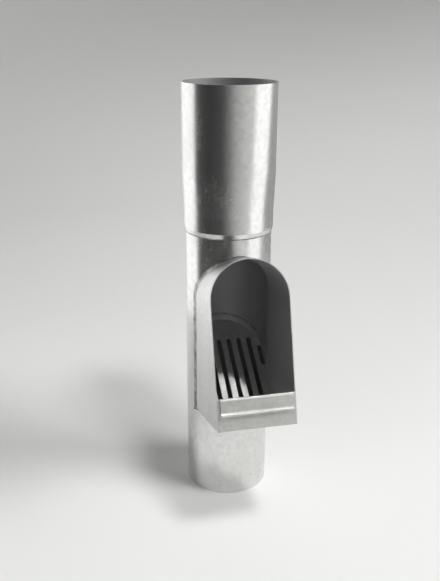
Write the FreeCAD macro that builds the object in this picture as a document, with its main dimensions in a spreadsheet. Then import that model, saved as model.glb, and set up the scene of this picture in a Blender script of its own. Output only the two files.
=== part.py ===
import FreeCAD, Part
import os
import Sketcher

# Downpipe leaf filter: five pieces of bright zinc sheet, soldered to each other.
# The origin is on the tube's axis at its lower rim. +Z is up and the mouth faces -Y.

Vector = FreeCAD.Vector
Rotation = FreeCAD.Rotation
Placement = FreeCAD.Placement

# Driving sizes, in millimetres and degrees
SIZES = {
    "pipe_diameter": 80.0,             # outside of the straight tube
    "sheet_thickness": 0.8,            # zinc sheet of every piece
    "solder_gap": 0.1,                 # room for solder between two sheets
    "total_height": 397.0,             # lower rim to the socket's upper rim
    "socket_length": 131.5,            # lower edge of the socket to its upper rim
    "socket_ease": 0.4,                # room round the tube inside the socket's foot
    "socket_flare": 1.2,               # widening above the socket's foot, on the radius
    "neck_height": 4.0,                # cone at the socket's lower end, drawn in to the tube
    "neck_edge": 0.3,                  # thickness left at the neck's lower edge
    "foot_height": 14.5,               # straight foot of the socket above its neck
    "taper_length": 32.0,              # cone from the foot to the wide part
    "lap_length": 16.0,                # tube inside the socket, from the neck's lower edge
    "collar_height": 17.0,             # hood's crest on the tube's front to the socket's lower edge
    "hood_slope": 17.0,                # rise of the hood towards its front
    "hood_reach": 121.4,               # tube's axis to the front lip, along the slope
    "hood_inset": 4.8,                 # tube's side to the outside of the hood's side wall
    "hood_height": 146.0,              # underside of the floor to the crest of the arch
    "lip_height": 28.5,                # underside of the floor to the top of the front lip
    "hem_depth": 15.2,                 # folded-over hem of the lip
    "hem_gap": 0.9,                    # open space inside the hem
    "hem_relief": 2.4,                 # slit between the hem's end and the side wall
    "curl_radius": 4.2,                # outward curl along the hem's lower edge
    "curl_turn": 60.0,                 # angle that the curl turns through
    "sieve_slope": 33.5,               # fall of the sieve towards the front
    "sieve_rise": 48.0,                # hood's underside to the sieve's top, on the tube's axis
    "sieve_edge_height": 5.0,          # upturned edge along the tube's back wall
    "slot_width": 4.6,
    "slot_pitch": 10.2,
    "slot_count": 6,
    "slot_back_margin": 21.1,          # back of the sieve to the long slots, seen from above
    "slot_front_margin": 9.7,          # front edge of the tongue to the long slots
    "side_slot_margin": 4.2,           # tube's inside to the middle of a short slot
    "side_slot_length": 19.0,
}

doc = FreeCAD.newDocument("downpipe_leaf_filter")
sheet = doc.addObject("Spreadsheet::Sheet", "size")
for row, (alias, value) in enumerate(SIZES.items(), 1):
    sheet.set(f"A{row}", alias)
    sheet.set(f"B{row}", str(value))
    sheet.setAlias(f"B{row}", alias)
doc.recompute()

# Radii and heights that several pieces share
SHEET = "size.sheet_thickness"
TUBE_RADIUS = "(size.pipe_diameter / 2)"
BORE_RADIUS = f"({TUBE_RADIUS} - {SHEET})"
SEAT_RADIUS = f"({TUBE_RADIUS} + size.solder_gap)"
WALL_OUTSIDE = f"({TUBE_RADIUS} - size.hood_inset)"
WALL_INSIDE = f"({WALL_OUTSIDE} - {SHEET})"
SPRING_HEIGHT = f"(size.hood_height - {WALL_OUTSIDE})"
NECK_LEVEL = "(size.total_height - size.socket_length)"
CREST_LEVEL = f"({NECK_LEVEL} - size.collar_height)"
# The hood's underside on the tube's axis, worked down its slope from the crest on the tube's front
CREST_DROP = f"({TUBE_RADIUS} * tan(size.hood_slope) + size.hood_height / cos(size.hood_slope))"
FLOOR_LEVEL = f"({CREST_LEVEL} - {CREST_DROP})"

# The hood rises and the sieve falls towards the front, about the X axis
TILT_UP = Vector(-1, 0, 0)
TILT_DOWN = Vector(1, 0, 0)


def number(expression):
    return float(sheet.evalExpression(expression))


def new_body(label, tilt=None, slope=None, level=None):
    """A piece of its own. A sloping one is drawn level, then tilted at its level on the tube's axis."""
    body = doc.addObject("PartDesign::Body", label)
    if slope:
        body.Placement = Placement(Vector(), Rotation(tilt, number(slope)))
        body.setExpression("Placement.Rotation.Angle", slope)
        body.setExpression("Placement.Base.z", level)
    return body


def new_sketch(body, name, role, turn=Rotation()):
    """A sketch on one of the body's origin planes, turned in that plane's own axes."""
    sketch = body.newObject("Sketcher::SketchObject", name)
    plane = [feature for feature in body.Origin.OriginFeatures if feature.Role == role][0]
    sketch.AttachmentSupport = (plane, [""])
    sketch.MapMode = "FlatFace"
    sketch.AttachmentOffset = Placement(Vector(), turn)
    return sketch


def new_sloping_sketch(body, name, role, tilt, slope):
    sketch = new_sketch(body, name, role, Rotation(tilt, number(slope)))
    sketch.setExpression("AttachmentOffset.Rotation.Angle", slope)
    return sketch


def bind(sketch, constraint, expression):
    """Adds a dimension that follows the expression."""
    index = sketch.addConstraint(constraint)
    sketch.setExpression(f"Constraints[{index}]", expression)


def draw_wire(sketch, corners):
    """Closed wire. A corner (x, y) ends a line, and (x, y, radius, turn) ends an arc of up to a quarter
    turn, anticlockwise where turn is 1 and clockwise where it is -1."""
    places = [Vector(number(corner[0]), number(corner[1]), 0) for corner in corners]
    edges = []
    for index, corner in enumerate(corners):
        start = places[index - 1]
        end = places[index]
        if len(corner) == 2:
            edge = sketch.addGeometry(Part.LineSegment(start, end))
        else:
            chord = end - start
            radius = number(corner[2])
            rise = radius - (radius ** 2 - chord.Length ** 2 / 4) ** 0.5
            aside = Vector(chord.y, -chord.x, 0).normalize() * rise * corner[3]
            edge = sketch.addGeometry(Part.Arc(start, (start + end) / 2 + aside, end))
        # A clockwise arc is stored from its far end
        to_start = [(sketch.getPoint(edge, point) - start).Length for point in (1, 2)]
        first, last = (1, 2) if to_start[0] < to_start[1] else (2, 1)
        edges.append((edge, first, last))
    for index, (edge, first, last) in enumerate(edges):
        corner = corners[index]
        before, _, before_last = edges[index - 1]
        sketch.addConstraint(Sketcher.Constraint("Coincident", before, before_last, edge, first))
        bind(sketch, Sketcher.Constraint("DistanceX", -1, 1, edge, last, places[index].x), corner[0])
        bind(sketch, Sketcher.Constraint("DistanceY", -1, 1, edge, last, places[index].y), corner[1])
        if len(corner) > 2:
            bind(sketch, Sketcher.Constraint("Radius", edge, number(corner[2])), corner[2])


def draw_rectangle(sketch, left, right, bottom, top):
    draw_wire(sketch, [(left, bottom), (right, bottom), (right, top), (left, top)])


def draw_circle(sketch, radius):
    circle = sketch.addGeometry(Part.Circle(Vector(), Vector(0, 0, 1), number(radius)))
    sketch.addConstraint(Sketcher.Constraint("Coincident", circle, 3, -1, 1))
    bind(sketch, Sketcher.Constraint("Radius", circle, number(radius)), radius)


def draw_slot(sketch, middle, back, front):
    """Round-ended slot that runs along Y between its two ends."""
    radius = "(size.slot_width / 2)"
    left = f"{middle} - {radius}"
    right = f"{middle} + {radius}"
    draw_wire(sketch, [
        (left, f"{front} + {radius}"),
        (middle, front, radius, 1),
        (right, f"{front} + {radius}", radius, 1),
        (right, f"{back} - {radius}"),
        (middle, back, radius, 1),
        (left, f"{back} - {radius}", radius, 1),
    ])


def draw_arch(sketch, half_width, foot):
    """Section of the hood: two upright walls under a round arch."""
    draw_wire(sketch, [
        (f"-{half_width}", foot),
        (half_width, foot),
        (half_width, SPRING_HEIGHT),
        ("0", f"{SPRING_HEIGHT} + {half_width}", half_width, 1),
        (f"-{half_width}", SPRING_HEIGHT, half_width, 1),
    ])


def pad(body, sketch, length, symmetric=False, reverse=False):
    feature = body.newObject("PartDesign::Pad", f"{sketch.Name}_pad")
    feature.Profile = sketch
    feature.SideType = "Symmetric" if symmetric else "One side"
    feature.Reversed = reverse
    feature.setExpression("Length", length)
    doc.recompute()
    return feature


def cut_through(body, sketch, ahead=False):
    """Pocket through the whole piece, to both sides of the sketch or only ahead of it."""
    before = body.Shape.Volume
    feature = body.newObject("PartDesign::Pocket", f"{sketch.Name}_pocket")
    feature.Profile = sketch
    feature.Type = "ThroughAll"
    feature.SideType = "One side" if ahead else "Symmetric"
    feature.Reversed = ahead
    doc.recompute()
    if body.Shape.Volume >= before:
        raise RuntimeError(f"{feature.Name} removes nothing")
    return feature


def cut_saddle(body):
    """Trims a hood piece to the tube's outside and takes away what lies behind the tube's axis."""
    sketch = new_sloping_sketch(body, f"{body.Label}_saddle", "XY_Plane", TILT_DOWN, "size.hood_slope")
    draw_wire(sketch, [
        (f"-{SEAT_RADIUS}", "0"),
        ("0", f"-{SEAT_RADIUS}", SEAT_RADIUS, 1),
        (SEAT_RADIUS, "0", SEAT_RADIUS, 1),
        (SEAT_RADIUS, "size.hood_height"),
        (f"-{SEAT_RADIUS}", "size.hood_height"),
    ])
    cut_through(body, sketch)


def make_inlet_socket():
    """Wide tube that narrows to a straight foot, drawn in round the straight tube at its lower edge."""
    body = new_body("inlet_socket")
    sketch = new_sketch(body, "socket_wall", "XZ_Plane")
    foot_inside = f"({SEAT_RADIUS} + size.socket_ease)"
    foot_outside = f"({foot_inside} + {SHEET})"
    wide_inside = f"({foot_inside} + size.socket_flare)"
    wide_outside = f"({wide_inside} + {SHEET})"
    shoulder = f"({NECK_LEVEL} + size.neck_height)"
    taper_foot = f"({shoulder} + size.foot_height)"
    taper_top = f"({taper_foot} + size.taper_length)"
    edge = f"({SEAT_RADIUS} + size.neck_edge)"
    draw_wire(sketch, [
        (SEAT_RADIUS, NECK_LEVEL),
        (edge, NECK_LEVEL),
        (foot_outside, shoulder),
        (foot_outside, taper_foot),
        (wide_outside, taper_top),
        (wide_outside, "size.total_height"),
        (wide_inside, "size.total_height"),
        (wide_inside, taper_top),
        (foot_inside, taper_foot),
        (foot_inside, shoulder),
    ])
    turned = body.newObject("PartDesign::Revolution", "socket_turn")
    turned.Profile = sketch
    turned.ReferenceAxis = (sketch, ["V_Axis"])
    turned.Angle = 360
    return body


def make_body_pipe():
    """Straight tube. Its mouth is cut while only the front half stands, so the back wall stays whole."""
    body = new_body("body_pipe")
    pad(body, draw_half_tube(body, "front_half", "-", 1), f"{NECK_LEVEL} + size.lap_length")
    mouth = new_sloping_sketch(body, "mouth", "XZ_Plane", TILT_UP, "size.hood_slope")
    mouth.setExpression("AttachmentOffset.Base.y", FLOOR_LEVEL)
    draw_arch(mouth, WALL_INSIDE, SHEET)
    cut_through(body, mouth)
    pad(body, draw_half_tube(body, "back_half", "", -1), f"{NECK_LEVEL} + size.lap_length")
    return body


def draw_half_tube(body, name, side, turn):
    sketch = new_sketch(body, name, "XY_Plane")
    draw_wire(sketch, [
        (f"-{TUBE_RADIUS}", "0"),
        ("0", f"{side}{TUBE_RADIUS}", TUBE_RADIUS, turn),
        (TUBE_RADIUS, "0", TUBE_RADIUS, turn),
        (BORE_RADIUS, "0"),
        ("0", f"{side}{BORE_RADIUS}", BORE_RADIUS, -turn),
        (f"-{BORE_RADIUS}", "0", BORE_RADIUS, -turn),
    ])
    return sketch


def make_hood():
    """One sheet bent to an arch with two side walls that stand on the chute floor."""
    body = new_body("hood", TILT_UP, "size.hood_slope", FLOOR_LEVEL)
    outside = new_sketch(body, "hood_outside", "XZ_Plane")
    draw_arch(outside, WALL_OUTSIDE, SHEET)
    pad(body, outside, "size.hood_reach")
    inside = new_sketch(body, "hood_inside", "XZ_Plane")
    draw_arch(inside, WALL_INSIDE, "0")
    cut_through(body, inside)
    cut_saddle(body)
    return body


def draw_both_ends(body, name, ahead, end, foot):
    """Two rectangles beyond the ends of the lip, from the foot upwards, on a plane ahead of the tube's axis."""
    sketch = new_sketch(body, name, "XZ_Plane")
    sketch.setExpression("AttachmentOffset.Base.z", ahead)
    draw_rectangle(sketch, end, TUBE_RADIUS, foot, "size.hood_height")
    draw_rectangle(sketch, f"-{TUBE_RADIUS}", f"-{end}", foot, "size.hood_height")
    return sketch


def make_chute_floor():
    """One folded sheet: floor, upright lip, and a hem folded over the lip with its edge curled out."""
    body = new_body("chute_floor", TILT_UP, "size.hood_slope", FLOOR_LEVEL)
    # The side view has its X axis pointing forwards
    profile = new_sketch(body, "chute_profile", "YZ_Plane", Rotation(Vector(0, 1, 0), 180))
    front = "size.hood_reach"
    back_face = f"{front} - {SHEET}"
    hem_inside = f"{front} + size.hem_gap"
    hem_outside = f"{hem_inside} + {SHEET}"
    fold_middle = f"{front} + size.hem_gap / 2"
    fold_inside = "(size.hem_gap / 2)"
    fold_outside = f"({fold_inside} + {SHEET})"
    fold_level = f"size.lip_height - {fold_outside}"
    curl_outside = f"(size.curl_radius + {SHEET})"
    curl_middle = f"{hem_outside} + size.curl_radius"
    hem_foot = "(size.lip_height - size.hem_depth)"
    curl_level = f"{hem_foot} + {curl_outside} * sin(size.curl_turn)"
    draw_wire(profile, [
        ("0", "0"),
        (back_face, "0"),
        (front, SHEET, SHEET, 1),
        (front, fold_level),
        (fold_middle, f"{fold_level} + {fold_inside}", fold_inside, -1),
        (hem_inside, fold_level, fold_inside, -1),
        (hem_inside, curl_level),
        (f"{curl_middle} - {curl_outside} * cos(size.curl_turn)", hem_foot, curl_outside, 1),
        (f"{curl_middle} - size.curl_radius * cos(size.curl_turn)",
         f"{curl_level} - size.curl_radius * sin(size.curl_turn)"),
        (hem_outside, curl_level, "size.curl_radius", -1),
        (hem_outside, fold_level),
        (fold_middle, "size.lip_height", fold_outside, 1),
        (back_face, fold_level, fold_outside, 1),
        (back_face, SHEET),
        ("0", SHEET),
    ])
    pad(body, profile, f"2 * {WALL_OUTSIDE}", symmetric=True)
    # The lip stands between the side walls, and its hem ends short of them
    lip_end = f"({WALL_INSIDE} - size.solder_gap)"
    cut_through(body, draw_both_ends(body, "lip_ends", "0", lip_end, SHEET))
    hem_end = f"({WALL_INSIDE} - size.hem_relief)"
    cut_through(body, draw_both_ends(body, "hem_ends", front, hem_end, hem_foot), ahead=True)
    cut_saddle(body)
    return body


def make_sieve():
    """Slotted plate across the tube, with an upturned back edge and a tongue over the chute floor."""
    body = new_body("sieve", TILT_DOWN, "size.sieve_slope", f"{FLOOR_LEVEL} + size.sieve_rise")
    fall = "size.sieve_slope"
    rise = "size.hood_slope"
    radius = f"({BORE_RADIUS} - size.solder_gap)"
    half_tongue = f"({WALL_INSIDE} - size.solder_gap)"
    back = f"{TUBE_RADIUS} / cos({fall})"
    # The tongue's lower front edge comes down on the floor's upper face
    drop = f"size.sieve_rise - size.solder_gap - {SHEET} / cos({rise})"
    tilted = f"{SHEET} * (cos({fall}) - sin({fall}) * tan({rise}))"
    front = f"-({drop} - {tilted}) / (sin({fall}) + cos({fall}) * tan({rise}))"

    edge_block = new_sketch(body, "edge_block", "XY_Plane")
    draw_rectangle(edge_block, f"-{TUBE_RADIUS}", TUBE_RADIUS, "0", back)
    pad(body, edge_block, "size.sieve_edge_height")
    edge_inside = new_sloping_sketch(body, "edge_inside", "XY_Plane", TILT_UP, fall)
    draw_circle(edge_inside, f"{radius} - {SHEET}")
    cut_through(body, edge_inside)
    plate = new_sketch(body, "plate", "XY_Plane")
    draw_rectangle(plate, f"-{TUBE_RADIUS}", TUBE_RADIUS, front, back)
    pad(body, plate, SHEET, reverse=True)

    # Seen from above, the plate fills the bore and its tongue fills the hood
    outline = new_sloping_sketch(body, "outline", "XY_Plane", TILT_UP, fall)
    corner = f"-sqrt({radius} ^ 2 - {half_tongue} ^ 2)"
    margin = "size.pipe_diameter"
    draw_rectangle(outline, f"-{margin}", margin, f"-size.hood_reach - {margin}", margin)
    draw_wire(outline, [
        (f"-{half_tongue}", corner),
        (f"-{radius}", "0", radius, -1),
        ("0", radius, radius, -1),
        (radius, "0", radius, -1),
        (half_tongue, corner, radius, -1),
        (half_tongue, "-size.hood_reach"),
        (f"-{half_tongue}", "-size.hood_reach"),
    ])
    cut_through(body, outline)

    side_slots = new_sketch(body, "side_slots", "XY_Plane")
    half_slot = f"(size.side_slot_length / 2 / cos({fall}))"
    aside = f"({BORE_RADIUS} - size.side_slot_margin)"
    draw_slot(side_slots, aside, half_slot, f"-{half_slot}")
    draw_slot(side_slots, f"-{aside}", half_slot, f"-{half_slot}")
    cut_through(body, side_slots)
    long_slot = new_sketch(body, "long_slot", "XY_Plane")
    first = "(size.slot_pitch * (1 - size.slot_count) / 2)"
    slot_back = f"({radius} - size.slot_back_margin) / cos({fall})"
    draw_slot(long_slot, first, slot_back, f"{front} + size.slot_front_margin")
    slot = cut_through(body, long_slot)
    row = body.newObject("PartDesign::LinearPattern", "slot_row")
    row.Originals = [slot]
    row.Direction = (long_slot, ["H_Axis"])
    row.Mode = "Spacing"
    row.setExpression("Offset", "size.slot_pitch")
    row.setExpression("Occurrences", "size.slot_count")
    body.Tip = row
    return body


pieces = [make_inlet_socket(), make_body_pipe(), make_hood(), make_chute_floor(), make_sieve()]
doc.recompute()

for item in doc.Objects:
    if "Invalid" in item.State or "Error" in item.State:
        raise RuntimeError(f"{item.Name} failed: {item.State}")
for piece in pieces:
    if piece.Shape.isNull() or not piece.Shape.isValid() or len(piece.Shape.Solids) != 1:
        raise RuntimeError(f"{piece.Label} is not one valid solid")

os.makedirs("parts", exist_ok=True)
for piece in pieces:
    piece.Shape.exportStep(f"parts/{piece.Label}.step")
    print(f"{piece.Label}: {piece.Shape.Volume:.1f} mm3")
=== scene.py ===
import math

import bmesh
import bpy
from mathutils import Matrix, Vector


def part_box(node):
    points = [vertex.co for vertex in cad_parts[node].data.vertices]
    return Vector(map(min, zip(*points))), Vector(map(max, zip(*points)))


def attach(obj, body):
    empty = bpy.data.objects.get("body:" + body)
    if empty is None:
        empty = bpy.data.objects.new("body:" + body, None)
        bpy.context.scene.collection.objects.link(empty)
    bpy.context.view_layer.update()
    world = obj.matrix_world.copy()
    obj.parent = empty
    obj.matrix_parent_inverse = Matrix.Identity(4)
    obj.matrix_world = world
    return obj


# Downpipe leaf filter in bright rolled zinc sheet, with its soldered joints.
# Sizes are in metres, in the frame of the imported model.

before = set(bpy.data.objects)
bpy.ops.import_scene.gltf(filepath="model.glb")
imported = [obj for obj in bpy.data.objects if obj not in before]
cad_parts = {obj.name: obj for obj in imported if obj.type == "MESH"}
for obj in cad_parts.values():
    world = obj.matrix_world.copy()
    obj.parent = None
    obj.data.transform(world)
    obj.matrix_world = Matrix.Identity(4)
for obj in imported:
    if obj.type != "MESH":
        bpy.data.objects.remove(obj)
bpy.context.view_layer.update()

MM = 0.001

# Sizes of the tubes, the hood and the sieve, read from the frame where it holds them
PIPE_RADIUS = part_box("body_pipe")[1].x
SOCKET_LOW, SOCKET_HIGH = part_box("inlet_socket")
SOCKET_RADIUS = SOCKET_HIGH.x
NECK_LEVEL = SOCKET_LOW.z
TOP_LEVEL = SOCKET_HIGH.z
WALL_HALF_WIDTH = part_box("hood")[1].x
SHEET = 0.8 * MM
NECK_HEIGHT = 4.0 * MM
FOOT_HEIGHT = 14.5 * MM
TAPER_LENGTH = 32.0 * MM
SOCKET_FLARE = 1.2 * MM
FOOT_RADIUS = SOCKET_RADIUS - SOCKET_FLARE
HOOD_SLOPE = math.radians(17.0)
HOOD_HEIGHT = 146.0 * MM
COLLAR_HEIGHT = 17.0 * MM
SIEVE_SLOPE = math.radians(33.5)
SIEVE_RISE = 48.0 * MM
SIEVE_EDGE = 5.0 * MM
CREST_DROP = PIPE_RADIUS * math.tan(HOOD_SLOPE) + HOOD_HEIGHT / math.cos(HOOD_SLOPE)
FLOOR_LEVEL = NECK_LEVEL - COLLAR_HEIGHT - CREST_DROP
SPRING_HEIGHT = HOOD_HEIGHT - WALL_HALF_WIDTH
SPRING_LEVEL = FLOOR_LEVEL + SPRING_HEIGHT * math.cos(HOOD_SLOPE)
ARCH_AXIS = (0.0, SPRING_HEIGHT * math.sin(HOOD_SLOPE), SPRING_LEVEL)

# Solder: every piece of it sinks a little into what it joins
SINK = 0.06 * MM
HOLLOW = 0.35              # height of a hollow fillet's middle, as a share of its leg
FILLET_LEG = 3.4 * MM
CREST_THINNING = 0.55      # share of its leg that the hood's fillet loses over the crest
LONG_WAVE = 0.1            # unevenness of the hood's fillet, as a share of its leg
LONG_WAVE_TURN = 0.9       # radians of that wave from one point of the outline to the next
SHORT_WAVE = 0.06
SHORT_WAVE_TURN = 2.3
NECK_FILLET = 1.3 * MM
NECK_FILLET_MIDDLE = 0.2 * MM
NECK_FILLET_EDGE = 0.42 * MM
SIEVE_FILLET = 0.8 * MM
SIEVE_WAVE = 0.15
SIEVE_WAVE_TURN = 1.1
SIEVE_SOLDER_START = 6     # bearing from +X, in degrees
SIEVE_SOLDER_ARC = 168     # degrees round the tube's back
SIEVE_SOLDER_STEPS = 60

# Lap seams, with bearings in degrees from +X
SEAM_WIDTH = 8.0 * MM
SEAM_RISE = 0.3 * MM
SEAM_MARGIN = 0.4 * MM
PIPE_SEAM_BEARING = 90
SOCKET_SEAM_BEARING = 65

SHARP_ANGLE = math.radians(40)

# Finish of the zinc
HAZE_SIZE = 45.0 * MM
MOTTLE_SIZE = 5.0 * MM
MOTTLE_DEPTH = 0.03 * MM
MARK_WIDTH = 0.9 * MM
MARK_LENGTH = 60.0 * MM
MARK_DEPTH = 0.01 * MM
SCRATCH_SPACING = 1.8 * MM
SCRATCH_RUN = 30.0 * MM
WAVE_LENGTH = 60.0 * MM
WAVE_DEPTH = 0.3 * MM
# A painted highlight: a lighter band of colour along the fold on top of the lip
FOLD_HIGHLIGHT_DEPTH = 1.8 * MM
FOLD_HIGHLIGHT_FADE = 0.5 * MM
BRIGHT_TONES = ("#E4E5E3", "#DBDBD9", "#D8D8D6")
# A darker copy of the bright tones: painted shade that dims the lip and the sieve
SHADED_TONES = ("#D6D7D4", "#CDCDCA", "#C9C9C6")
# Painted shade: the sheet's inside is painted greyer, standing in for the shade inside the bore and the hood
INSIDE_SHADE_TONE = "#C6C6C8"
FOLD_HIGHLIGHT_TONE = "#EAEAE8"
BRIGHT_ROUGHNESS = 0.17

# Finish of the solder
LUMP_SIZE = 8.0 * MM
LUMP_DEPTH = 0.5 * MM


def srgb(text):
    """Linear colour of an sRGB hex value."""
    channels = [int(text[i:i + 2], 16) / 255 for i in (1, 3, 5)]
    linear = [c / 12.92 if c <= 0.04045 else ((c + 0.055) / 1.055) ** 2.4 for c in channels]
    return (*linear, 1.0)


def add(tree, kind, inputs=None, stops=(), **settings):
    """Adds a node. An input is given by its name or number, as a value or as the socket that feeds it.
    Stops of a colour ramp are (position, grey value or colour)."""
    node = tree.nodes.new(kind)
    for name, value in settings.items():
        setattr(node, name, value)
    for key, value in (inputs or {}).items():
        if isinstance(value, bpy.types.NodeSocket):
            tree.links.new(value, node.inputs[key])
        else:
            node.inputs[key].default_value = value
    for index, (position, value) in enumerate(stops):
        elements = node.color_ramp.elements
        element = elements[index] if index < len(elements) else elements.new(position)
        element.position = position
        element.color = value if isinstance(value, tuple) else (value, value, value, 1.0)
    return node


def new_material(name):
    material = bpy.data.materials.new(name)
    material.use_nodes = True
    material.node_tree.nodes.clear()
    return material, material.node_tree


def rolled_zinc(name, tones, axis_turn=0.0, axis_place=(0.0, 0.0, 0.0), inside_shade_and_dull=0.0, dull=0.0,
                fold_highlight_from=1.0):
    """Bright rolled zinc sheet, bent round an axis. Outside it is a satin mirror with soft hazy patches,
    a fine mottle, faint marks along the rolling direction and thin scratches. Inside it is duller, and its
    greyer colour is painted shade for the dim inside, by the share that its inside argument gives. Above a
    given level a lighter colour is painted along the sheet as a painted highlight. The sheet is
    slightly wavy, so reflections waver."""
    material, tree = new_material(name)
    coordinates = add(tree, "ShaderNodeTexCoord").outputs
    place = coordinates["Object"]
    # The sheet's bending axis becomes Z
    turn = (axis_turn, 0.0, 0.0)
    offset = -(Matrix.Rotation(axis_turn, 3, "X") @ Vector(axis_place))
    turned = add(tree, "ShaderNodeMapping", {"Vector": place, "Location": offset, "Rotation": turn})
    turned = turned.outputs["Vector"]
    facing = add(tree, "ShaderNodeMapping", {"Vector": coordinates["Normal"], "Rotation": turn})
    # A face that looks back at the axis is the sheet's inside
    around = add(tree, "ShaderNodeVectorMath", {0: turned, 1: (1.0, 1.0, 0.0)}, operation="MULTIPLY")
    outward = add(tree, "ShaderNodeVectorMath", {0: around.outputs["Vector"]}, operation="NORMALIZE")
    outward = add(tree, "ShaderNodeVectorMath", {0: outward.outputs["Vector"], 1: facing.outputs["Vector"]},
                  operation="DOT_PRODUCT")
    # Where this mask is on, the inside is painted greyer as painted shade, and it is also duller
    inside = add(tree, "ShaderNodeMapRange", {
        "Value": outward.outputs["Value"], "From Min": -0.2, "From Max": -0.4, "To Max": inside_shade_and_dull})
    inside = inside.outputs["Result"]
    level = add(tree, "ShaderNodeSeparateXYZ", {"Vector": place}).outputs["Z"]
    # Painted highlight: above the given level the colour turns lighter
    fold_highlight = add(tree, "ShaderNodeMapRange", {
        "Value": level, "From Min": fold_highlight_from, "From Max": fold_highlight_from + FOLD_HIGHLIGHT_FADE})
    fold_highlight = fold_highlight.outputs["Result"]

    haze = add(tree, "ShaderNodeTexNoise", {
        "Vector": place, "Scale": 1 / HAZE_SIZE, "Detail": 4.0, "Roughness": 0.55})
    mottle = add(tree, "ShaderNodeTexNoise", {
        "Vector": place, "Scale": 1 / MOTTLE_SIZE, "Detail": 3.0, "Roughness": 0.6})
    # The rolling marks are drawn wider than real ones so that they show
    stretched = add(tree, "ShaderNodeMapping", {
        "Vector": turned, "Scale": (1 / MARK_WIDTH, 1 / MARK_WIDTH, 1 / MARK_LENGTH)})
    marks = add(tree, "ShaderNodeTexNoise", {
        "Vector": stretched.outputs["Vector"], "Scale": 1.0, "Detail": 2.0})
    # The scratches are the crests of a noise that is stretched aslant to the marks
    crossed = add(tree, "ShaderNodeMapping", {
        "Vector": turned, "Rotation": (0.35, 0.2, 0.0),
        "Scale": (1 / SCRATCH_SPACING, 1 / SCRATCH_SPACING, 1 / SCRATCH_RUN)})
    lines = add(tree, "ShaderNodeTexNoise", {
        "Vector": crossed.outputs["Vector"], "Scale": 1.0, "Detail": 1.0})
    scratch = add(tree, "ShaderNodeValToRGB", {"Fac": lines.outputs["Fac"]}, [(0.66, 0.0), (0.72, 1.0)])
    hazy = add(tree, "ShaderNodeValToRGB", {"Fac": haze.outputs["Fac"]}, [(0.38, 0.0), (0.66, 1.0)])
    hazy = hazy.outputs["Color"]
    spots = add(tree, "ShaderNodeValToRGB", {"Fac": mottle.outputs["Fac"]}, [(0.40, 0.0), (0.68, 1.0)])
    spots = spots.outputs["Color"]

    tone = srgb(tones[0])
    # The inside's greyer colour is painted shade, and the lighter colour over the lip's fold is a painted
    # highlight
    for mask, colour in ((hazy, tones[1]), (spots, tones[2]), (inside, INSIDE_SHADE_TONE), (fold_highlight, FOLD_HIGHLIGHT_TONE)):
        tone = add(tree, "ShaderNodeMix", {"Factor": mask, "A": tone, "B": srgb(colour)}, data_type="RGBA")
        tone = tone.outputs["Result"]
    rough = BRIGHT_ROUGHNESS + dull
    for mask, share in ((hazy, 0.07), (spots, 0.03), (marks.outputs["Fac"], 0.05),
                        (scratch.outputs["Color"], 0.015), (inside, 0.42)):
        rough = add(tree, "ShaderNodeMath", {0: mask, 1: share, 2: rough}, operation="MULTIPLY_ADD")
        rough = rough.outputs[0]

    waves = add(tree, "ShaderNodeTexNoise", {"Vector": place, "Scale": 1 / WAVE_LENGTH, "Detail": 1.0})
    wavy = add(tree, "ShaderNodeBump", {
        "Height": waves.outputs["Fac"], "Strength": 1.0, "Distance": WAVE_DEPTH})
    marked = add(tree, "ShaderNodeBump", {
        "Height": marks.outputs["Fac"], "Strength": 0.2, "Distance": MARK_DEPTH,
        "Normal": wavy.outputs["Normal"]})
    spotted = add(tree, "ShaderNodeBump", {
        "Height": mottle.outputs["Fac"], "Strength": 0.1, "Distance": MOTTLE_DEPTH,
        "Normal": marked.outputs["Normal"]})
    shader = add(tree, "ShaderNodeBsdfPrincipled", {
        "Base Color": tone, "Metallic": 1.0, "Roughness": rough, "Normal": spotted.outputs["Normal"]})
    add(tree, "ShaderNodeOutputMaterial", {"Surface": shader.outputs["BSDF"]})
    return material


def soft_solder():
    """Soft solder wiped along a joint: a duller, slightly lumpy tin-lead grey."""
    material, tree = new_material("soft_solder")
    place = add(tree, "ShaderNodeTexCoord").outputs["Object"]
    # Lumps left as the iron moved on, with finer ones on them
    lumps = add(tree, "ShaderNodeTexNoise", {
        "Vector": place, "Scale": 1 / LUMP_SIZE, "Detail": 4.0, "Roughness": 0.6})
    tone = add(tree, "ShaderNodeValToRGB", {"Fac": lumps.outputs["Fac"]},
               [(0.36, srgb("#6E6F71")), (0.62, srgb("#B6B7B7"))])
    rough = add(tree, "ShaderNodeMath", {0: lumps.outputs["Fac"], 1: 0.2, 2: 0.3}, operation="MULTIPLY_ADD")
    bump = add(tree, "ShaderNodeBump", {
        "Height": lumps.outputs["Fac"], "Strength": 0.7, "Distance": LUMP_DEPTH})
    shader = add(tree, "ShaderNodeBsdfPrincipled", {
        "Base Color": tone.outputs["Color"], "Metallic": 1.0, "Roughness": rough.outputs[0],
        "Normal": bump.outputs["Normal"]})
    add(tree, "ShaderNodeOutputMaterial", {"Surface": shader.outputs["BSDF"]})
    return material


def new_piece(name, mesh_tool, material):
    """Makes a smooth piece of the filter from a bmesh, and lets it ride on the part."""
    mesh = bpy.data.meshes.new(name)
    bmesh.ops.recalc_face_normals(mesh_tool, faces=mesh_tool.faces)
    for face in mesh_tool.faces:
        face.smooth = True
    mesh_tool.to_mesh(mesh)
    mesh_tool.free()
    mesh.set_sharp_from_angle(angle=SHARP_ANGLE)
    mesh.materials.append(material)
    piece = bpy.data.objects.new(name, mesh)
    bpy.context.scene.collection.objects.link(piece)
    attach(piece, "root")


def add_loop(mesh_tool, points):
    """Closed loop of edges through the points."""
    corners = [mesh_tool.verts.new(point) for point in points]
    return [mesh_tool.edges.new((corners[i - 1], corners[i])) for i in range(len(corners))]


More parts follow.
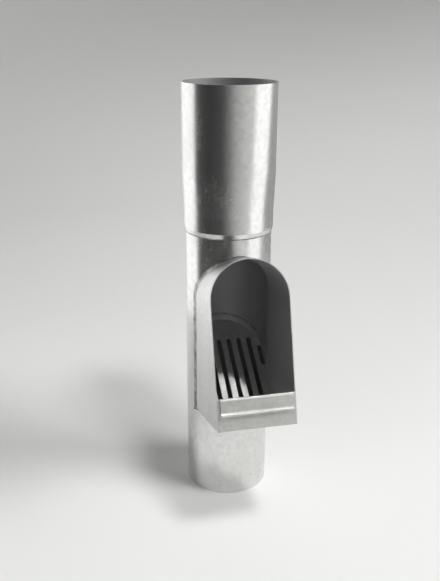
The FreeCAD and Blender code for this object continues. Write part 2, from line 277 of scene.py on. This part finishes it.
def hood_section():
    """Outline of the hood and its floor as (sideways, height, outward sideways, outward height)."""
    arch_steps = 48
    wall_steps = 30
    floor_steps = 24
    aslant = 0.7
    outline = []
    for i in range(arch_steps + 1):
        angle = math.pi * i / arch_steps
        across = math.cos(angle)
        up = math.sin(angle)
        outline.append((WALL_HALF_WIDTH * across, SPRING_HEIGHT + WALL_HALF_WIDTH * up, across, up))
    for i in range(1, wall_steps):
        outline.append((-WALL_HALF_WIDTH, SPRING_HEIGHT * (1 - i / wall_steps), -1.0, 0.0))
    outline.append((-WALL_HALF_WIDTH, 0.0, -aslant, -aslant))
    for i in range(1, floor_steps):
        outline.append((WALL_HALF_WIDTH * (2 * i / floor_steps - 1), 0.0, 0.0, -1.0))
    outline.append((WALL_HALF_WIDTH, 0.0, aslant, -aslant))
    for i in range(1, wall_steps):
        outline.append((WALL_HALF_WIDTH, SPRING_HEIGHT * i / wall_steps, 1.0, 0.0))
    return outline


def on_tube(across, height, ahead=0.0):
    """Where the line through (across, height) along the hood's slope meets the tube, moved ahead along it."""
    radius = PIPE_RADIUS - SINK
    forward = math.sqrt(radius ** 2 - across ** 2)
    along = (forward + height * math.sin(HOOD_SLOPE)) / math.cos(HOOD_SLOPE) + ahead
    return Vector((
        across,
        -(along * math.cos(HOOD_SLOPE) - height * math.sin(HOOD_SLOPE)),
        FLOOR_LEVEL + along * math.sin(HOOD_SLOPE) + height * math.cos(HOOD_SLOPE),
    ))


def make_hood_solder(material):
    """Hollow fillet of solder round the joint of the hood and the tube."""
    corner = []
    on_hood = []
    middle = []
    on_pipe = []
    for index, (across, height, out_x, out_h) in enumerate(hood_section()):
        # The fillet is uneven, and thinner over the arch than down the walls
        long_wave = LONG_WAVE * math.sin(index * LONG_WAVE_TURN)
        short_wave = SHORT_WAVE * math.sin(index * SHORT_WAVE_TURN)
        leg = FILLET_LEG * (1 + long_wave + short_wave) * (1 - CREST_THINNING * max(0, out_h))
        inner_x = across - out_x * SINK
        inner_h = height - out_h * SINK
        corner.append(on_tube(inner_x, inner_h))
        on_hood.append(on_tube(inner_x, inner_h, leg))
        on_pipe.append(on_tube(across + out_x * leg, height + out_h * leg))
        # Weighted towards the corner, so that the face is hollow
        middle.append((corner[-1] * 2 + on_hood[-1] * 1.5 + on_pipe[-1] * 1.5) / 5)
    shape = bmesh.new()
    loops = [add_loop(shape, points) for points in (corner, on_hood, middle, on_pipe)]
    for i in range(len(loops)):
        bmesh.ops.bridge_loops(shape, edges=loops[i - 1] + loops[i])
    new_piece("hood_solder", shape, material)


def make_neck_solder(material):
    """Ring of solder under the socket's lower edge."""
    shape = bmesh.new()
    inner = PIPE_RADIUS - SINK
    profile = [
        (inner, NECK_LEVEL - NECK_FILLET),
        (PIPE_RADIUS + NECK_FILLET_MIDDLE, NECK_LEVEL - HOLLOW * NECK_FILLET),
        (PIPE_RADIUS + NECK_FILLET_EDGE, NECK_LEVEL + SINK),
        (inner, NECK_LEVEL + SINK),
    ]
    corners = [shape.verts.new((radius, 0.0, level)) for radius, level in profile]
    edges = [shape.edges.new((corners[i - 1], corners[i])) for i in range(len(corners))]
    bmesh.ops.spin(shape, geom=corners + edges, cent=(0, 0, 0), axis=(0, 0, 1), angle=2 * math.pi,
                   steps=128, use_merge=True)
    new_piece("neck_solder", shape, material)


def make_sieve_solder(material):
    """Solder along the top of the sieve's upturned edge, round the back of the tube."""
    shape = bmesh.new()
    wall = PIPE_RADIUS - SHEET + SINK
    level = FLOOR_LEVEL + SIEVE_RISE + SIEVE_EDGE / math.cos(SIEVE_SLOPE)
    loops = []
    for i in range(SIEVE_SOLDER_STEPS + 1):
        angle = math.radians(SIEVE_SOLDER_START + SIEVE_SOLDER_ARC * i / SIEVE_SOLDER_STEPS)
        around = Vector((math.cos(angle), math.sin(angle), 0.0))
        foot = level + wall * around.y * math.tan(SIEVE_SLOPE) - SINK
        leg = SIEVE_FILLET * (1 + SIEVE_WAVE * math.sin(i * SIEVE_WAVE_TURN))
        loops.append(add_loop(shape, [
            around * wall + Vector((0, 0, foot)),
            around * wall + Vector((0, 0, foot + leg)),
            around * (wall - 0.5 * SHEET) + Vector((0, 0, foot + HOLLOW * leg)),
            around * (wall - SHEET) + Vector((0, 0, foot)),
        ]))
    for i in range(1, len(loops)):
        bmesh.ops.bridge_loops(shape, edges=loops[i - 1] + loops[i])
    for end in (loops[0], loops[-1]):
        bmesh.ops.contextual_create(shape, geom=end)
    new_piece("sieve_solder", shape, material)


def make_seam(name, profile, bearing, material):
    """Lengthwise lap seam on the outside of a tube: a thin raised strip along the profile."""
    shape = bmesh.new()
    corners = [shape.verts.new((radius - SINK, 0.0, level)) for radius, level in profile]
    edges = [shape.edges.new((corners[i], corners[i + 1])) for i in range(len(corners) - 1)]
    width = SEAM_WIDTH / profile[0][0]
    start = Matrix.Rotation(math.radians(bearing) - width / 2, 3, "Z")
    bmesh.ops.rotate(shape, verts=corners, cent=(0, 0, 0), matrix=start)
    bmesh.ops.spin(shape, geom=corners + edges, cent=(0, 0, 0), axis=(0, 0, 1), angle=width, steps=8)
    bmesh.ops.recalc_face_normals(shape, faces=shape.faces)
    bmesh.ops.solidify(shape, geom=shape.faces[:], thickness=-SEAM_RISE)
    new_piece(name, shape, material)


def make_seams(material):
    make_seam("pipe_seam", [
        (PIPE_RADIUS, SEAM_MARGIN),
        (PIPE_RADIUS, NECK_LEVEL - NECK_FILLET),
    ], PIPE_SEAM_BEARING, material)
    foot_top = NECK_LEVEL + NECK_HEIGHT + FOOT_HEIGHT
    make_seam("socket_seam", [
        (FOOT_RADIUS, NECK_LEVEL + NECK_HEIGHT),
        (FOOT_RADIUS, foot_top),
        (SOCKET_RADIUS, foot_top + TAPER_LENGTH),
        (SOCKET_RADIUS, TOP_LEVEL - SEAM_MARGIN),
    ], SOCKET_SEAM_BEARING, material)


def dress_nodes():
    """Gives every CAD node its zinc, rolled along the tube or along the hood. Returns the tubes' zinc."""
    along_hood = HOOD_SLOPE - math.pi / 2
    # The insides of the tubes and of the hood are painted greyer, as painted shade
    upright = rolled_zinc("bright_rolled_zinc_tube", BRIGHT_TONES, inside_shade_and_dull=1.0)
    sloping = rolled_zinc("bright_rolled_zinc_hood", BRIGHT_TONES, along_hood, ARCH_AXIS, inside_shade_and_dull=1.0,
                          dull=0.12)
    # The fold on top of the lip gets a lighter colour, a painted highlight
    # The lip gets the darker copy of the tones, as painted shade
    folded = rolled_zinc("satin_rolled_zinc_lip", SHADED_TONES, along_hood, ARCH_AXIS, dull=0.36,
                         fold_highlight_from=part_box("chute_floor")[1].z - FOLD_HIGHLIGHT_DEPTH)
    # The sieve gets the darker copy of the tones, as painted shade
    punched = rolled_zinc("punched_zinc_sieve", SHADED_TONES, -math.pi / 2, dull=0.3)
    finishes = {"inlet_socket": upright, "body_pipe": upright, "hood": sloping, "chute_floor": folded,
                "sieve": punched}
    for name, material in finishes.items():
        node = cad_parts[name]
        node.data.materials.clear()
        node.data.materials.append(material)
    return upright


# Studio

CAMERA_BEARING = math.radians(-13.44)
CAMERA_DISTANCE = 654.65 * MM
CAMERA_HEIGHT = 445.67 * MM
CAMERA_PITCH = math.radians(20.35)
CAMERA_PAN = math.radians(0.66)
CAMERA_ROLL = math.radians(0.25)
FOCAL_PIXELS = 725.74
FRAME_HEIGHT_PIXELS = 581
SENSOR = 36.0

# Panels round the object: bearing from the camera to the right, in degrees, and brightness
PANELS = [
    (-180, 0.6), (-150, 0.6), (-138, 1.0), (-90, 1.0), (-83, 0.05), (-45, 0.03), (-14, 0.05), (2, 0.16),
    (12, 0.30), (30, 0.44), (51, 0.52), (57, 1.0), (92, 1.0), (99, 0.30), (174, 0.26), (180, 0.6),
]
PANEL_STRENGTH = 1.33
PANEL_LEAN = 0.75
LEAN_LEVEL = 150.0 * MM
PANEL_DISTANCE = 480.0 * MM
PANEL_HEIGHT = 700.0 * MM
RIGHT_PANEL_FOOT = 75.0 * MM

# Pale floor: radius of its flat middle, and radius and angle of the sweep round it
FLAT_RADIUS = 1.2
SWEEP_RADIUS = 2.2
SWEEP_STEP = 10
SWEEP_STEPS = 6

# What the lamps look at
MIDDLE = (0.0, 0.0, TOP_LEVEL / 2)
SNOOT_TARGET = (-5.0 * MM, -88.0 * MM, 138.0 * MM)
FAR_FLOOR = (0.9, 1.3, 0.0)


def make_camera():
    data = bpy.data.cameras.new("camera")
    data.sensor_fit = "VERTICAL"
    data.sensor_height = SENSOR
    data.lens = SENSOR * FOCAL_PIXELS / FRAME_HEIGHT_PIXELS
    data.clip_start = 0.01
    camera = bpy.data.objects.new("camera", data)
    bpy.context.scene.collection.objects.link(camera)
    turn = Matrix.Rotation(CAMERA_BEARING, 4, "Z")
    place = turn @ Matrix.Translation((0.0, -CAMERA_DISTANCE, CAMERA_HEIGHT))
    look = Matrix.Rotation(CAMERA_PAN, 4, "Z") @ Matrix.Rotation(math.pi / 2 - CAMERA_PITCH, 4, "X")
    camera.matrix_world = place @ look @ Matrix.Rotation(CAMERA_ROLL, 4, "Z")
    bpy.context.scene.camera = camera


def make_floor():
    """Pale matt paper: a wide flat round that sweeps up all round its edge."""
    material, tree = new_material("pale_paper")
    shader = add(tree, "ShaderNodeBsdfPrincipled", {"Base Color": srgb("#E9E9E8"), "Roughness": 0.9})
    add(tree, "ShaderNodeOutputMaterial", {"Surface": shader.outputs["BSDF"]})
    shape = bmesh.new()
    profile = [(0.0, 0.0)]
    for i in range(SWEEP_STEPS + 1):
        angle = math.radians(SWEEP_STEP * i)
        profile.append((FLAT_RADIUS + SWEEP_RADIUS * math.sin(angle), SWEEP_RADIUS * (1 - math.cos(angle))))
    corners = [shape.verts.new((radius, 0.0, level)) for radius, level in profile]
    edges = [shape.edges.new((corners[i], corners[i + 1])) for i in range(len(corners) - 1)]
    bmesh.ops.spin(shape, geom=corners + edges, cent=(0, 0, 0), axis=(0, 0, 1), angle=2 * math.pi,
                   steps=96, use_merge=True)
    bmesh.ops.remove_doubles(shape, verts=shape.verts, dist=1e-6)
    bmesh.ops.recalc_face_normals(shape, faces=shape.faces)
    mesh = bpy.data.meshes.new("floor")
    for face in shape.faces:
        face.smooth = True
    shape.to_mesh(mesh)
    shape.free()
    mesh.materials.append(material)
    floor = bpy.data.objects.new("floor", mesh)
    bpy.context.scene.collection.objects.link(floor)


def make_panels():
    """Ring of white, grey and dark studio panels that only the metal's reflections see."""
    material, tree = new_material("studio_panels")
    place = add(tree, "ShaderNodeTexCoord").outputs["Object"]
    to_camera = (0.0, 0.0, math.pi / 2 - CAMERA_BEARING)
    turned = add(tree, "ShaderNodeMapping", {"Vector": place, "Rotation": to_camera})
    axes = add(tree, "ShaderNodeSeparateXYZ", {"Vector": turned.outputs["Vector"]}).outputs
    bearing = add(tree, "ShaderNodeMath", {0: axes["Y"], 1: axes["X"]}, operation="ARCTAN2").outputs[0]
    # The right panels lean outwards
    right = add(tree, "ShaderNodeMath", {0: bearing, 1: 0.0}, operation="MAXIMUM").outputs[0]
    lean = add(tree, "ShaderNodeMath", {0: axes["Z"], 1: -PANEL_LEAN, 2: PANEL_LEAN * LEAN_LEVEL},
               operation="MULTIPLY_ADD").outputs[0]
    leaned = add(tree, "ShaderNodeMath", {0: right, 1: lean, 2: bearing}, operation="MULTIPLY_ADD")
    share = add(tree, "ShaderNodeMapRange", {
        "Value": leaned.outputs[0], "From Min": -math.pi, "From Max": math.pi})
    stops = [((degrees + 180) / 360, brightness) for degrees, brightness in PANELS]
    colour = add(tree, "ShaderNodeValToRGB", {"Fac": share.outputs["Result"]}, stops)
    glow = add(tree, "ShaderNodeEmission", {"Color": colour.outputs["Color"], "Strength": PANEL_STRENGTH})
    add(tree, "ShaderNodeOutputMaterial", {"Surface": glow.outputs["Emission"]})
    # The left half stands on the floor, the right half above it
    shape = bmesh.new()
    start = Matrix.Rotation(CAMERA_BEARING - math.pi / 2, 3, "Z")
    for side, foot in ((-1, 0.0), (1, RIGHT_PANEL_FOOT)):
        corners = [shape.verts.new((PANEL_DISTANCE, 0.0, level)) for level in (foot, PANEL_HEIGHT)]
        edge = shape.edges.new(corners)
        bmesh.ops.rotate(shape, verts=corners, cent=(0, 0, 0), matrix=start)
        bmesh.ops.spin(shape, geom=corners + [edge], cent=(0, 0, 0), axis=(0, 0, 1), angle=side * math.pi,
                       steps=90)
    mesh = bpy.data.meshes.new("studio_panels")
    shape.to_mesh(mesh)
    shape.free()
    mesh.materials.append(material)
    panels = bpy.data.objects.new("studio_panels", mesh)
    panels.visible_camera = False
    panels.visible_diffuse = False
    panels.visible_shadow = False
    bpy.context.scene.collection.objects.link(panels)


def aim_lamp(name, data, target, bearing, elevation, distance):
    """Places a lamp that looks at the target. Its bearing is from the camera to the right."""
    lamp = bpy.data.objects.new(name, data)
    around = CAMERA_BEARING - math.pi / 2 + math.radians(bearing)
    rise = math.radians(elevation)
    offset = Vector((math.cos(around) * math.cos(rise), math.sin(around) * math.cos(rise), math.sin(rise)))
    lamp.location = Vector(target) + offset * distance
    lamp.rotation_euler = offset.to_track_quat("Z", "Y").to_euler()
    lamp.visible_camera = False
    bpy.context.scene.collection.objects.link(lamp)
    return lamp


def make_softbox(name, bearing, elevation, distance, width, height, power, target=MIDDLE, spread=180):
    data = bpy.data.lights.new(name, "AREA")
    data.shape = "RECTANGLE"
    data.size = width
    data.size_y = height
    data.spread = math.radians(spread)
    data.energy = power
    return aim_lamp(name, data, target, bearing, elevation, distance)


def make_snoot(bearing, elevation, distance, beam, power):
    """Narrow lamp that reaches into the chute, over the lip."""
    data = bpy.data.lights.new("chute_snoot", "SPOT")
    data.spot_size = 2 * math.atan(beam / 2 / distance)
    data.spot_blend = 0.7
    data.shadow_soft_size = 0.1
    data.energy = power
    return aim_lamp("chute_snoot", data, SNOOT_TARGET, bearing, elevation, distance)


def make_lamps():
    floor_lamps = [
        make_softbox("window", bearing=73, elevation=20, distance=3.4, width=1.95, height=0.78,
                     power=40, spread=90),
        make_softbox("key_softbox", bearing=38, elevation=63, distance=1.5, width=0.25, height=0.25,
                     power=11),
        make_softbox("fill_softbox", bearing=-30, elevation=35, distance=0.9, width=0.4, height=0.4,
                     power=0.9),
        make_softbox("far_softbox", bearing=0, elevation=90, distance=1.4, width=2.4, height=0.8,
                     power=4.2, target=FAR_FLOOR, spread=120),
    ]
    for lamp in floor_lamps:
        lamp.visible_glossy = False
    metal_lamps = [
        make_softbox("rim_softbox", bearing=80, elevation=40, distance=2.4, width=1.0, height=1.6, power=19),
        make_snoot(bearing=35, elevation=65, distance=1.2, beam=0.11, power=108),
    ]
    for lamp in metal_lamps:
        lamp.visible_diffuse = False


def make_world():
    """Pale walls that darken towards the ceiling."""
    world = bpy.data.worlds.new("studio")
    world.use_nodes = True
    tree = world.node_tree
    tree.nodes.clear()
    direction = add(tree, "ShaderNodeTexCoord").outputs["Generated"]
    height = add(tree, "ShaderNodeSeparateXYZ", {"Vector": direction}).outputs["Z"]
    colour = add(tree, "ShaderNodeValToRGB", {"Fac": height}, [(0.0, 0.95), (0.4, 0.8), (0.72, 0.06)])
    light = add(tree, "ShaderNodeBackground", {"Color": colour.outputs["Color"], "Strength": 0.58})
    add(tree, "ShaderNodeOutputWorld", {"Surface": light.outputs["Background"]})
    bpy.context.scene.world = world


def make_studio():
    make_camera()
    make_floor()
    make_panels()
    make_lamps()
    make_world()
    bpy.context.scene.view_settings.view_transform = "Standard"


tube_zinc = dress_nodes()
solder = soft_solder()
make_hood_solder(solder)
make_neck_solder(solder)
make_sieve_solder(solder)
make_seams(tube_zinc)
make_studio()
